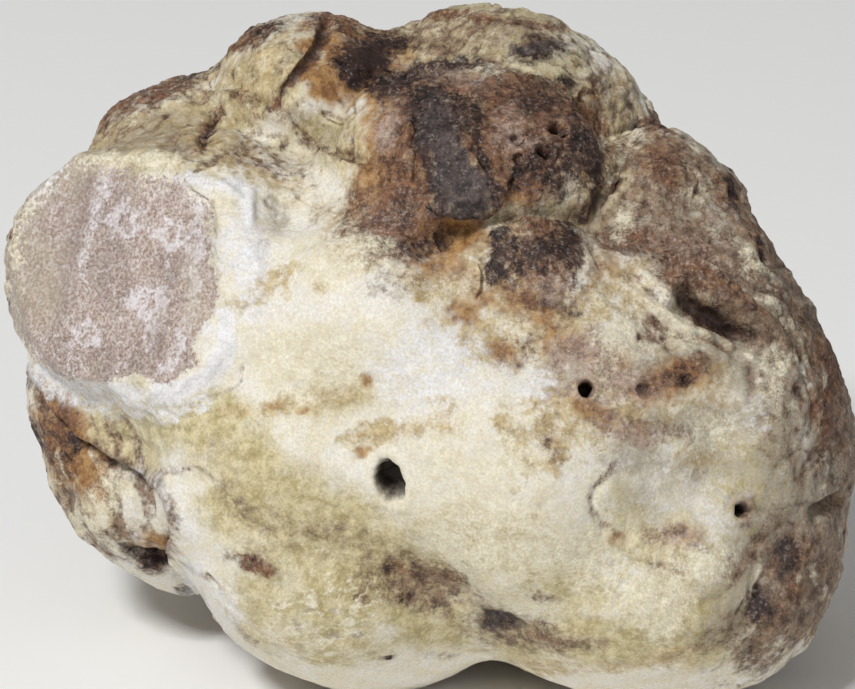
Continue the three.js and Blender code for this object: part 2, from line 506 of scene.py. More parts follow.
def carve_holes():
    """Larva holes, and pits where the skin has rotted through."""
    pit((16.7, -4.7), (0.8, 0.85), 3.2, rough=0.06)
    pit((33.1, -17.4), (0.85, 0.8), 2.8, rough=0.06)
    pit((-4.0, -14.4), (1.5, 2.2), 3.4, 14, rough=0.12)
    pit((13.6, 22.4), (1.0, 0.95), 3.0, rough=0.05)
    pit((12.2, 20.2), (0.9, 0.85), 2.8, rough=0.05)
    pit((9.6, 21.6), (0.9, 0.8), 0.7, 0, 0.4)
    pit((9.8, 19.6), (0.7, 0.6), 0.6, 0, 0.4)
    pit((-22.5, -24.7), (1.0, 0.5), 0.9, -30, 0.5)
    pit((23, -4.8), (1.0, 0.8), 0.7, 0, 0.35)
    pit((27.3, -3.6), (0.6, 0.5), 0.5, 0, 0.3)
    pit((-6.4, -3.8), (0.85, 0.8), 0.18, 0, 0.0)
    pit((-11.3, 5.8), (0.9, 0.8), 0.18, 0, 0.0)
    pit((-18.3, 3.4), (1.5, 1.1), 0.25, 20, 0.0)
    pit((-4.1, -33), (1.0, 0.3), 0.5, 0, 0.5)


# ---------------------------------------------------------------- the worn patch

PATCH_RIM = [(-43.4, 5), (-43, 11), (-40.6, 17), (-37.6, 20.4), (-33, 20), (-29, 18.8),
             (-25.6, 19), (-23.4, 17), (-22.2, 14), (-22.6, 10), (-21.8, 6), (-23.4, 2),
             (-24.6, -2), (-27, -4.2), (-31, -3.6), (-36, -4.4), (-40, -2), (-42.6, 1)]


def depth_inside(corners, rows):
    """How far each row's place on the front lies inside a smooth closed outline."""
    ring = curve(corners + corners[:1], 0.8)
    place = skin.home_sight[rows]
    start, stop = ring, np.roll(ring, -1, axis=0)
    side = stop - start
    gap = place[:, None] - start[None]
    share = np.clip(np.einsum("ijk,jk->ij", gap, side) / np.maximum((side ** 2).sum(1), 1e-9), 0, 1)
    distance = np.linalg.norm(gap - share[..., None] * side[None], axis=2).min(axis=1)
    above = place[:, None, 1] < start[None, :, 1]
    crosses = above != (place[:, None, 1] < stop[None, :, 1])
    rise = np.where(np.abs(side[:, 1]) < 1e-9, 1e-9, side[:, 1])
    meets = start[:, 0] + (place[:, None, 1] - start[None, :, 1]) / rise * side[:, 0]
    odd = (crosses & (place[:, None, 0] < meets)).sum(axis=1) % 2 == 1
    return np.where(odd, distance, -distance)


def wear_patch():
    """Flattens the worn patch, with the skin's broken edge standing a little over it."""
    rows = np.flatnonzero((skin.home_sight[:, 0] < -16) & (skin.shown > 0.3))
    inside = depth_inside(PATCH_RIM, rows) + 0.6 * FORM.layered(skin.home[rows], 3.2, 4, 0.6)
    core = skin.home[rows[inside > 4.0]]
    centre = core.mean(axis=0)
    normal = np.linalg.svd(core - centre, full_matrices=False)[2][2]
    normal *= np.sign(normal @ FRONT.out)
    height = (skin.points[rows] - centre) @ normal
    level = 0.25 * FORM.layered(skin.home[rows], 7.0, 2) - 0.2
    pull = np.clip(level - height, -3.0, 2.2) * smooth_step(inside, -0.1, 0.5)
    rim = 0.22 * np.exp(-((inside + 0.5) / 0.5) ** 2)
    skin.points[rows] += (pull + rim)[:, None] * normal
    across, up = skin.home_sight[rows].T
    blur = 1.2 + np.maximum(4.5 * smooth_step(up, 9, 19), 1.6 * smooth_step(across, -37, -43))
    skin.paint("flesh", smooth_step(inside / blur, -0.3, 0.9), rows)


def scratch_patch():
    """Cracks and shallow furrows in the worn patch, and flakes of torn skin beside it."""
    groove([(-24.8, 7), (-26.2, 4.6), (-27.6, 2.4), (-28.4, -1)], 0.22, 0.4)
    groove([(-23.3, 1), (-23.7, -0.6), (-24.6, -3)], 0.2, 0.35)
    groove([(-36, 18), (-37, 14), (-38, 9), (-39, 4)], 1.1, 0.35)
    groove([(-31.6, 18), (-33, 12), (-34.6, 5)], 0.8, 0.2)
    groove([(-26.4, 16), (-27.6, 11), (-30, 5), (-31.6, -1)], 0.8, 0.22)
    bulge((-24.3, 17.2), (1.3, 0.6), 0.5, -20)
    bulge((-21.2, 16.4), (1.6, 0.5), 0.5, -30)
    bulge((-18.6, 14.6), (0.5, 2.4), 0.6)
    bulge((-18.2, 9.2), (0.7, 1.2), 0.4, 20)
    bulge((-22.4, -2), (0.6, 2.4), 0.35, -30)


# ---------------------------------------------------------------- fine relief

def gnarled():
    """How gnarled the skin is: smooth in the pale middle of the front, rough towards the edges."""
    away = skin.home_sight - np.array((2.0, -15.0))
    return np.maximum(smooth_step(np.hypot(*away.T), 25, 42), 1 - skin.shown)


def fold_lines():
    """Thin lines that wander over the gnarled skin, 1 along their middles."""
    return smooth_step(np.abs(FORM.layered(skin.home + 60.0, 5.5, 2)), 0.10, 0.0) * gnarled()


def roughen():
    """Lumps and wrinkles all over, coarse on the scabbed brown skin, finest on the flesh."""
    home, scab = skin.home, skin.masks["scab"]
    flesh = skin.masks["flesh"]
    gnarl = np.clip(gnarled() + 0.5 * scab, 0, 1) * (1 - flesh)
    lumps = (0.22 + 0.30 * gnarl) * FORM.layered(home, 7.0, 2)
    knobs = (0.06 + 0.16 * gnarl) * FORM.layered(home, 2.4, 2)
    wrinkles = (0.03 + 0.06 * gnarl + 0.10 * scab) * FORM.layered(home, 0.95, 2)
    folds = -0.32 * fold_lines()
    crust = 0.16 * scab * np.abs(FORM.layered(home - 25.0, 1.7, 2))
    crumbs = 0.07 * flesh * FORM.layered(home, 0.7, 2)
    every = np.arange(len(home))
    skin.push(every, (lumps + knobs + wrinkles + crust + folds) * (1 - 0.9 * flesh) + crumbs)


RELAX_ROUNDS = 8
TANGLE_LOW, TANGLE_HIGH = 0.10, 0.26  # how far a point may sit from the mean of its neighbours


def relax_tangles():
    """Evens out cells that the carving has stretched or folded over each other."""
    for _ in range(RELAX_ROUNDS):
        pull = skin.around(skin.points) - skin.points
        tangled = smooth_step(np.linalg.norm(pull, axis=1), TANGLE_LOW, TANGLE_HIGH)
        skin.points += 0.6 * tangled[:, None] * pull


def front_rows(place, radii, reach, shown):
    """The rows around a place on the front, their offsets from it, and their ring: 1 at the radii."""
    away = skin.home_sight - np.array(place)
    ring = np.hypot(away[:, 0] / radii[0], away[:, 1] / radii[1])
    rows = np.flatnonzero((ring < reach) & (skin.shown > shown))
    return rows, away[rows], ring[rows]


STREAK_FAN = [
    # Centre across and up, half width and height, direction, height of the relief, depth of the stain.
    ((31, 5), (12, 8), -34, 0.5, 0.85),
    ((24, -25), (9, 8), 72, 0.10, 0.2),
    ((-34, -15), (7, 8), -62, 0.26, 0.8),
    ((-25, -10), (8, 5), -24, 0.20, 0.3),
    ((6, 33), (12, 4), 20, 0.20, 0.6),
    ((36, -26), (6, 8), 66, 0.22, 0.7),
    ((40, -8), (5, 10), 82, 0.20, 0.6),
    ((-14, -18), (9, 6), -22, 0.12, 0.2),
    ((22, 19), (5, 7), 68, 0.22, 0.6),
    ((-24, 22), (9, 4), 28, 0.08, 0.35),
    ((21, -8), (9, 7), -30, 0.10, 0.35),
    ((0, -8), (20, 12), 38, 0.03, 0.12),
]


def draw_streaks():
    """Fine ridges that run along the pull of the skin, with stained valleys."""
    for place, radii, turn, height, stained in STREAK_FAN:
        rows, away, ring = front_rows(place, radii, 1.3, 0.2)
        along, aside = turned(*away.T, turn)
        bent = aside + 0.7 * FORM(skin.home[rows], 5.0)
        stretched = np.stack((along / 5.0, bent, np.full(len(rows), turn)), axis=1)
        ridges = FORM.layered(stretched, 1.0, 2)
        inside = smooth_step(ring, 1.25, 0.5) * (1 - skin.masks["flesh"][rows])
        skin.push(rows, height * ridges * inside)
        skin.paint("umber", stained * smooth_step(ridges, 0.0, -0.6) * inside, rows)
        skin.paint("brown", 0.6 * stained ** 2 * smooth_step(ridges, -0.1, -0.7) * inside, rows)
        clean = inside * (1 - skin.masks["dark"][rows])
        skin.paint("butter", 0.6 * stained * smooth_step(ridges, 0.15, 0.8) * clean, rows)


# ---------------------------------------------------------------- painting tools

BARELY_SHOWN = 0.02  # paint meant for the front stops where less of the skin is shown


def stain(kind, amount, *spots):
    """Blots on the front. Each is across, up, half width, half height and perhaps a turn in degrees."""
    for across, up, wide, high, *turn in spots:
        size = max(wide, high)
        rows, away, _ = front_rows((across, up), (size, size), 2.0, BARELY_SHOWN)
        along, aside = turned(*away.T, *turn)
        ring = np.hypot(along / wide, aside / high)
        ring += 0.4 * MOTTLE.layered(skin.home[rows], 0.8 * size + 0.4, 3)
        skin.paint(kind, amount * smooth_step(ring, 1.45, 0.25) * skin.shown[rows], rows)


def stroke(kind, amount, width, *corners):
    """A smear on the front along a smooth line."""
    line = curve(corners, 0.25)
    rows = rows_in_box(skin.home_sight, line, 2.5 * width)
    rows = rows[skin.shown[rows] > BARELY_SHOWN]
    gap = skin.home_sight[rows, None] - line[None]
    distance = np.sqrt(np.einsum("ijk,ijk->ij", gap, gap).min(axis=1)) / width
    distance += 0.35 * MOTTLE.layered(skin.home[rows], 1.5 * width + 0.3, 2)
    skin.paint(kind, amount * smooth_step(distance, 1.5, 0.3) * skin.shown[rows], rows)


# ---------------------------------------------------------------- the stains of the skin

def paint_hidden_sides():
    """The sides that the front places don't reach: olive and tan clouds with brown scabs."""
    hidden = 1.0 - skin.shown
    high = smooth_step(skin.home[:, 2], 12.0, 46.0)
    cloud = MOTTLE.layered(skin.home, 22.0, 3)
    scab = MOTTLE.layered(skin.home + 90.0, 15.0, 5, 0.6) + 0.2 * high
    lines = np.abs(MOTTLE.layered(skin.home, 1.6, 2))
    skin.paint("olive", 0.75 * hidden * smooth_step(cloud, -0.5, 0.5))
    skin.paint("tan", 0.8 * hidden * smooth_step(cloud, 0.25, -0.45))
    skin.paint("umber", 0.75 * hidden * smooth_step(scab, -0.15, 0.5))
    skin.paint("brown", 0.85 * hidden * smooth_step(scab, 0.15, 0.85))
    skin.paint("dark", 0.85 * hidden * smooth_step(scab, 0.45, 1.0))
    skin.paint("grey", 0.7 * hidden * smooth_step(MOTTLE.layered(skin.home - 40.0, 9.0, 3), 0.1, 0.6))
    skin.paint("dust", 0.7 * hidden * smooth_step(lines, 0.34, 0.0) * smooth_step(scab, 0.0, 0.4))


def paint_washes():
    """The broad tones under the stains, and painted shade along the right outline over its brown and grey
    skin.
    """
    stain("olive", 0.85, (-13, -17, 13, 6, -18), (-24, -8, 9, 3.5, -22), (-6, -25, 10, 6, -12))
    stain("olive", 0.55, (8, -22, 10, 7), (26, -22, 11, 9, 20), (-8, -5, 8, 4, 20), (-12, -27, 10, 6, 10))
    stain("olive", 0.7, (-34, -9, 8, 5, -40), (4, 33, 14, 4, 8), (-17, 29, 9, 5, 20), (-27, 22, 12, 4, 5),
          (30, -30, 9, 4, 10), (36, -14, 7, 12), (13, 28, 8, 4, -30), (-11, 22, 4, 4))
    stain("tan", 0.6, (32, 2, 11, 8, -25), (22, 17, 8, 7), (-30, 22.5, 12, 3, 5), (12, 3, 6, 4, -30),
          (-36, -14, 6, 10, 30), (20, -7, 11, 4, -10), (4, 16, 12, 12), (-17, 29, 7, 4, 20),
          (26, -33, 8, 1.6, 6), (13, -34, 7, 1.2), (38, -28, 3, 2, 40), (14, -2, 4, 3), (20, 5, 4, 4),
          (9, 2, 4, 2.4, -20), (-12, -6, 6, 1.6, 10), (-4, -9, 4, 1.4))
    stain("grey", 0.6, (38, -12, 7, 13, 10), (37, 4, 8, 8, -30), (24, 12, 11, 6, -20), (34, -27, 8, 8, 30))
    stain("grey", 0.45, (25, -13, 7, 5), (14, -3, 5, 3), (27, -1, 9, 4, -20), (9, 33, 9, 3))
    stain("umber", 0.8, (29, 9, 9, 5, -35), (24.5, 18, 4, 4), (34, 3, 8, 3.4, -35), (39, -24, 4, 7, 20))
    stain("umber", 0.45, (6, 33.6, 11, 2.6, -3), (19, 27, 5, 2.6, -45), (23, 12, 5, 3), (14, 13.6, 4, 1.6),
          (-31, 24, 8, 2, 20), (38, -6, 3, 8), (24, -3.5, 6, 2.4, 10), (33, -30, 8, 2.4, 20))
    stain("butter", 0.4, (20.6, 12.4, 1.4, 3, -30), (27, 16.4, 1.2, 1.8, 30), (34, 8, 3, 0.8, -42),
          (20.4, 20, 1.2, 3.4, -15))
    stain("butter", 0.35, (31, 12, 3.4, 0.7, -38), (37, 3, 3.4, 0.7, -50), (26, 3.4, 2, 1, -30))
    stain("brown", 0.5, (28, 7.6, 4, 1, -28), (25, 11, 3, 1, -20), (33, 4.6, 3, 0.8, -42),
          (24.6, 18, 1.6, 2.6, 10))
    stain("chalk", 0.6, (-19, 9, 3, 8), (-18.6, 15, 1.4, 2.4), (12, -4, 3, 2.4, 20), (0, -2, 7, 6))
    stain("chalk", 0.5, (-22, -28, 3, 6, 30))
    stain("chalk", 0.35, (28, -16, 7, 3), (34, -8, 3, 6), (20, -24, 4, 3, 30), (30, -20, 4, 3))
    stain("butter", 0.55, (20, 1, 4, 4), (27, 1, 3, 2, -30), (36, -3, 2.6, 4), (30, -9, 5, 3),
          (29, -23, 4, 3))
    stain("butter", 0.7, (24, -26, 6, 5, 60), (6, -15, 9, 7), (-14, -2, 8, 4), (12, -22, 8, 5),
          (-9, 9, 6, 4, 20))
    stain("tan", 0.45, (2, -7, 2, 4, 30), (-16, 6, 4, 3, 30), (4, 0, 5, 2, -30), (26, -21, 4, 3),
          (-8, 12, 4, 3, 30))
    # These two strokes follow the right outline: brown and grey skin with painted shade where it turns
    # away.
    stroke("umber", 0.75, 2, (27, 20), (33, 14), (38, 8), (42, 0), (43.6, -10), (43, -20), (39, -29),
           (34, -33))
    stroke("grey", 0.6, 3, (30, 19), (36, 11), (41, 2), (43, -8), (42, -20), (39, -26))
    stroke("chalk", 0.6, 1.6, (-41, -3), (-36, -5.4), (-30, -6.6), (-24, -6))
    stroke("chalk", 0.42, 1.2, (-30, -12.8), (-26.6, -15.4), (-24.6, -19.5), (-24.4, -23.5))


def paint_crown():
    """Brown granular crust with a dark scar."""
    stain("brown", 0.85, (10, 20, 8, 8), (-3, 14, 5, 4, 30), (-2.4, 11.4, 4.6, 2.4, -20),
          (13, 8.5, 6, 4, -15))
    stain("brown", 0.8, (4, 27, 8, 2.2, -5), (-5, 12.5, 4, 3, 30), (15, 23, 4, 4, -50), (-2, 21, 3, 6))
    stain("brown", 0.3, (12, 2.5, 5, 2.4, -30), (5, 7, 3.4, 2.2), (18, -1, 4, 2.2, -20),
          (-14, 19, 4, 2, -30))
    stain("brown", 0.4, (-8, 14, 4, 3, 30), (-3, 7, 4, 2.4, 20), (9, -1, 4, 2.4, -20),
          (-19, 19.5, 4, 1.4, -20))
    stain("orange", 0.8, (-1.5, 23.5, 2.6, 5, 20), (9, 15.5, 2.4, 2, 30), (-3, 18, 3, 2.5),
          (0, 11.6, 3.4, 1.6, 20))
    stain("orange", 0.5, (8, 22, 3, 3), (-5, 15, 3, 2.5), (5, 5, 4, 2), (10, 4.4, 4, 2, -20),
          (14, 0.6, 4, 2), (-5, 22.5, 2, 4, 10), (-6, 17.5, 2, 2, 30), (18.6, 8, 2, 2))
    stain("umber", 0.5, (9, 23, 5, 3), (11, 18, 4, 3), (0, 17, 4, 2))
    stain("dust", 0.5, (13, 5.4, 4, 1.4, -20), (-3.6, 24, 1.4, 3))
    stain("dust", 0.8, (8.8, 22.2, 2.4, 2.8), (-4.6, 22, 1.2, 3))
    stain("dust", 0.4, (3, 28, 5, 1, -10), (16, -1, 4, 2), (28, 9.6, 5, 2, -25), (-5, 13, 3, 2, 30),
          (24, -5, 4, 2, 10))
    stain("brown", 0.7, (9, 26, 4, 1.2, -10), (7.4, 19.6, 1.4, 2.6), (12.6, 25, 2, 1.2, -30),
          (11, 17, 2.4, 1.4))
    stain("butter", 0.4, (2.4, 6, 2.8, 2), (9, 2, 2.6, 1.8, -20))
    stain("orange", 0.6, (1.6, 8, 3.4, 1.6, -20), (-5, 21, 1.8, 4.6), (3.6, 3, 3, 1.4, -10),
          (8, -1, 2.4, 1.2, -20))
    stain("tan", 0.7, (1, 6, 4, 2.4, -20), (6, 0.6, 4, 2, -20), (-7, 9.6, 3, 1.8), (-6, 19, 2.4, 5))
    stain("dark", 0.9, (1, 22, 2.6, 5.4, 12), (4.2, 16, 2.8, 2.6, -50), (-0.6, 25.6, 2.6, 2),
          (3, 24.6, 2.4, 2))
    stain("dark", 0.85, (10.8, 9, 3.8, 2.4, 10), (8, 10.8, 1.4, 1.6, 30), (14.6, 9.6, 2, 2.8),
          (7, 7.6, 1.2, 2))
    stain("dark", 0.75, (13, 18, 3.4, 3), (16, 21, 2, 4.4, 20), (11, 25.4, 3, 1.6), (14, 4, 2.6, 1.4, -30))
    stain("dark", 0.65, (0, 10.6, 4, 1.4, 20), (-2.6, 14, 2.4, 2, 40), (15.5, 12.4, 3, 1),
          (9.4, 18, 1.2, 2))
    stroke("dark", 0.85, 0.8, (16.8, 14), (18, 16.4), (17.6, 19.4), (16.4, 22))
    stroke("dark", 0.9, 0.6, (0, 14.6), (2, 14), (4.5, 13.7), (7, 14))
    stroke("dark", 0.95, 0.8, (-1, 26), (-0.8, 22), (0, 18.6), (1.6, 15.4))
    stroke("dark", 0.95, 0.7, (5.2, 25), (5.4, 21.4), (6.4, 18), (7, 15.4))
    stroke("umber", 0.5, 3, (-4, 12), (-1.6, 16), (-2, 22), (0, 27))


def paint_scar():
    """The grey dried middle of the crown's dark scar."""
    stain("slate", 0.95, (2.2, 20.5, 2.8, 5.4, 14), (4.8, 16, 2, 2.2, -40))


def paint_hollow():
    """The ochre hollow under the crown, and the smooth valley beside it."""
    stain("orange", 1, (3.4, 11.2, 3.4, 2, 20), (3, 12.8, 2.6, 0.9))
    stain("butter", 0.5, (11.5, 14, 3.6, 1.2, -5), (7.6, 12.6, 1.6, 1))
    stain("tan", 0.9, (12, 13.8, 4.4, 1.6, -5), (17.6, 13.2, 2, 1.6), (8, 15.6, 1.4, 2))
    stain("olive", 0.6, (13, 14, 4, 1.4), (19.6, 15, 1.6, 2.6, -20), (20, 20, 2.6, 4, -10))


def paint_top():
    """The lobes behind the crown, with painted shadow behind the crown's top edge."""
    stain("tan", 0.6, (3, 32.5, 11, 2.6, 8), (20, 26, 4, 4, -45))
    stain("dark", 0.85, (11.6, 31, 3.6, 1.5, 8), (14.6, 27.8, 1.8, 0.9, -20))
    stain("slate", 0.9, (11.4, 31.1, 2.6, 0.9, 8))
    stain("orange", 0.95, (-8, 29.6, 4.6, 4.6, 10), (-11.4, 29, 2, 3.4, 20))
    stain("brown", 0.8, (-6.8, 30.6, 3.6, 3.2, 20), (-19, 32.4, 5, 1.4, 20), (-33, 25, 5, 1.6, 25),
          (-10, 33.8, 4, 1, 5))
    # Painted shadow in the deep hollow behind the crown's top left.
    stain("dark", 1, (-6.2, 30.2, 3.4, 2.8, 30), (-3.4, 31.6, 2.4, 1.4, 20), (-8, 27.4, 1, 0.7),
          (-7, 29, 2.4, 2))
    # More painted shade in that hollow.
    stain("cavity_shade", 0.85, (-6, 30.4, 2.2, 1.7, 25))
    stain("brown", 0.75, (-27, 26.8, 4, 1.2, 15), (-38, 21.5, 4, 1.2, 35), (24, 22.8, 2.2, 1.8, -50))
    stain("dark", 0.75, (-16.5, 33.2, 3, 0.8, 15), (-34, 26, 4, 0.9, 30), (-24, 28.6, 2.5, 0.9, 20))
    # Painted shadow along the crown's top edge.
    stroke("dark", 1, 1.2, (-5.4, 26.8), (-3, 27.7), (-1, 28.6), (1.5, 29.2), (5, 29.2))
    stroke("brown", 0.6, 0.6, (-2, 34.4), (3, 34.8), (8, 34), (14, 33.2))
    stroke("brown", 0.7, 0.9, (-24, 20.8), (-23, 22.6), (-21.6, 24.4))
    stroke("dark", 0.8, 0.5, (-23.8, 21.2), (-23, 22.4), (-22.2, 23.6))
    stroke("brown", 0.8, 0.5, (-10.5, 34.8), (-11.5, 31), (-15, 27), (-16, 25))
    stroke("brown", 0.45, 0.8, (-5, 18.6), (-10, 20.2), (-13, 21.6), (-15.6, 24.2), (-20, 26.6))


def paint_right():
    """Brown, striated and grey skin on the right, with painted shade in its slit hollow and on the rear
    lobes' strips.
    """
    stain("brown", 0.6, (27, 8, 6, 2.2, -22), (25, 18.5, 2.6, 2.2), (31.5, 16, 1.4, 3.2, 14),
          (34.6, 10, 1.2, 2.8, 20), (27, -19.4, 1.3, 0.7, 10), (28.7, -21.4, 0.9, 0.6), (24, -23.2, 1, 0.7),
          (26.6, -23.8, 1, 1))
    stain("orange", 0.6, (25, -4, 5.4, 2.4, 20), (19, -1.4, 3, 1.6), (17, -6.6, 2.4, 1.4, -30))
    stain("brown", 0.85, (27, -3, 3.4, 1.6, 20), (22.8, -4.8, 1.8, 1, 10), (20.5, 11, 2.6, 1.8),
          (42, -6, 1.6, 8))
    stain("brown", 0.55, (38.4, -22, 2.2, 3), (35, -27.5, 1.8, 3, -20), (38.5, -26, 1.4, 1.4),
          (33, -17.3, 2, 1.8))
    # The first spot is painted shade in the slit hollow; (32, 16) and (35, 9.6) are the rear lobes' brown
    # strips with painted shade.
    stain("dark", 0.95, (31, 2.4, 4, 1.1, -26), (27, -3.8, 1.2, 0.8), (32, 16, 0.7, 2.8, 12),
          (35, 9.6, 0.6, 2.4, 20))
    stain("dark", 0.7, (38.5, -22, 1.3, 2.2), (35.2, -27.6, 0.9, 2.4, -20), (23, -4.8, 0.8, 0.6),
          (38.5, -5, 0.7, 0.8))
    stain("dark", 0.5, (24.5, 8.6, 2.6, 1, -10), (29, 19, 1.2, 0.8), (40, 2.5, 1, 2.6, 20),
          (33.5, -19, 1.1, 0.5, 20))
    stain("grey", 0.6, (36, -20, 5, 6), (29, -8, 6, 2.4), (38.5, -7, 2, 2))
    stain("grey", 0.4, (21, -12, 3.4, 2.4, 20), (21, -2, 3, 2), (17, 0, 4, 3))
    stain("orange", 0.3, (20, -9, 5, 1.6, -20), (30, -6, 3, 1.6, 20), (11, -13, 1.6, 1.2))
    stain("dust", 0.6, (18, -4, 6, 3), (21, -9.4, 5, 1.6, -20), (17, 0.4, 4, 2.4), (26, -20, 4, 2))
    stain("brown", 0.35, (18, -8, 4, 1, -20), (24, -9, 3, 0.8), (28.6, -13.6, 1.6, 0.8, 30),
          (13, -10.6, 1.2, 2.6, 10))
    stain("tan", 0.7, (28, -12, 2.2, 1.4), (19, -2, 4, 1.6, -10), (40, -28, 3, 3), (16, 2.5, 3, 2.6))
    stain("orange", 0.5, (27.4, -20.4, 2.6, 1.6), (25.6, -23.6, 2.6, 1.2), (20, -20.4, 1.6, 0.8, 30),
          (12, -17, 1, 0.8))
    # The first spot deepens the painted shade in the slit hollow.
    stain("dark", 0.9, (30.4, 2.9, 4.6, 1.4, -30), (35, -27.8, 1.2, 2.6, -25))
    stain("slate", 0.7, (38, -22.4, 1.2, 2.6), (35.2, -27.4, 0.8, 2.2, -25))
    stroke("brown", 0.4, 0.8, (15, -5), (19, -7.4), (24, -8.6), (28, -9.6))
    stroke("brown", 0.42, 0.5, (19.6, -12.6), (17.4, -15.4), (17.5, -17.8), (20, -20))
    stroke("brown", 0.45, 0.45, (33.7, -2), (34.2, -4.4), (33.6, -6))


def paint_left():
    """The torn white flesh beside the worn patch, and the stained lobe under it, with painted shade under
    the shoulder's fold and in the hollow at the lobe's foot.
    """
    stain("chalk", 0.95, (-24.3, 17.2, 1.8, 1, -20), (-21, 16.6, 2, 0.9, -10), (-18.2, 9, 1.4, 1.6))
    stain("grey", 0.55, (-15.6, 13.6, 2.2, 2.6), (-17.4, 10.6, 1, 1))
    stain("butter", 0.8, (-41, 9, 2, 9, 5), (-38, 18.4, 4, 2.4, 40), (-24.4, 5, 1.6, 5, 10),
          (-30, 19.4, 5, 1.4, -5))
    stain("grey", 0.45, (-22.4, 11, 1.8, 5), (-35, 19.6, 6, 1.4, 25), (-26, 20, 4, 1.2, -10),
          (-28, 22.4, 7, 2, 5))
    stain("tan", 0.6, (-36, 20, 6, 1.6, 25), (-25.6, 21, 5, 1.6, -10), (-20, 20.6, 4, 1.4, -20),
          (-17.6, 17.6, 4, 1.2, -20), (-19.4, 4.8, 2.4, 1.6, 30), (-11.4, 6, 1.1, 0.9),
          (-14.6, 8, 2, 1, 30), (-17.6, 6.6, 1.4, 1))
    stain("brown", 0.75, (-38.6, -8, 2.4, 4, 20), (-41.8, 15, 1.2, 1.6), (-43.4, 10, 1, 6),
          (-43, 1.5, 1, 3), (-18.6, -22.9, 2.4, 0.9, -27), (-16.6, -23.8, 1.6, 0.8, -20))
    stain("orange", 0.75, (-38, -9.5, 3, 5.4, 24), (-28.4, -21, 2.8, 1.4, -10), (-35, -14.6, 1.6, 2.4, 30))
    stain("butter", 0.45, (-33, -15.4, 2.6, 3, 30), (-36, -18, 2, 2))
    stain("brown", 0.6, (-39.6, -11, 1.4, 4, 24), (-37, -7.4, 1.2, 2.6, 30), (-33.4, -12.4, 2.6, 1, -30))
    stain("umber", 0.5, (-35, -13, 4, 4, 30), (-31.4, -19.6, 3, 1.2, -20), (-27, -21, 1.2, 1.4))
    # (-37.4, -10.6), (-42, -3.4), (-25, -26.4) and (-28.5, -14) lie along the shoulder's fold: painted
    # shade under it.
    stain("dark", 0.75, (-37.4, -10.6, 1.2, 1.6, 20), (-42, -3.4, 0.9, 1.4), (-25, -26.4, 2, 1.2, -30),
          (-28.5, -14, 1.8, 1, -30))
    # The first two spots are painted shade in the hollow at the lobe's foot; the last lies at the fold's
    # start, painted shade under it.
    stain("dark", 0.95, (-28.4, -22.9, 3.4, 1.1, -14), (-31, -21.4, 1.6, 0.9, -20), (-41.6, -8, 0.6, 3, 20))
    stain("umber", 0.6, (-34.6, -20.4, 3, 1.2, -45), (-37, -17, 1.4, 2.6, 30),
          (-18.2, -22.8, 3.4, 1.5, -25))
    stain("chalk", 0.35, (-32, -13.5, 1.6, 1.2), (-31, -17, 1.4, 2, 30), (-27.6, -24.6, 2, 0.6))
    stroke("chalk", 0.95, 0.6, (-19.9, 17), (-18.7, 14.8), (-18.8, 12))
    stroke("chalk", 0.95, 1.1, (-28, -4.8), (-25, -4.4), (-22.4, -2.6), (-21.4, 0), (-21.4, 3))
    stroke("chalk", 0.7, 0.8, (-40, -2.6), (-36, -4.2), (-30, -4.9))
    stroke("brown", 0.3, 0.3, (-29, -5.6), (-25, -5.9), (-20.2, -4.4), (-19.4, -2))
    stroke("brown", 0.55, 0.4, (-23.6, -24), (-22.6, -24.6), (-21.6, -25.4))
    stroke("brown", 0.4, 0.5, (-21, -28), (-19.6, -30), (-18, -31.5))
    stroke("brown", 0.35, 0.35, (-31, -12), (-27, -13.4), (-24, -13), (-21.8, -15.4))
    # painted shade along the underside of the shoulder's fold
    stroke("umber", 0.8, 0.8, (-40.6, -3.6), (-38, -7.4), (-35.4, -10.4), (-31.4, -12.6), (-28.6, -14),
           (-26.6, -16.4), (-26, -19), (-26.6, -22))


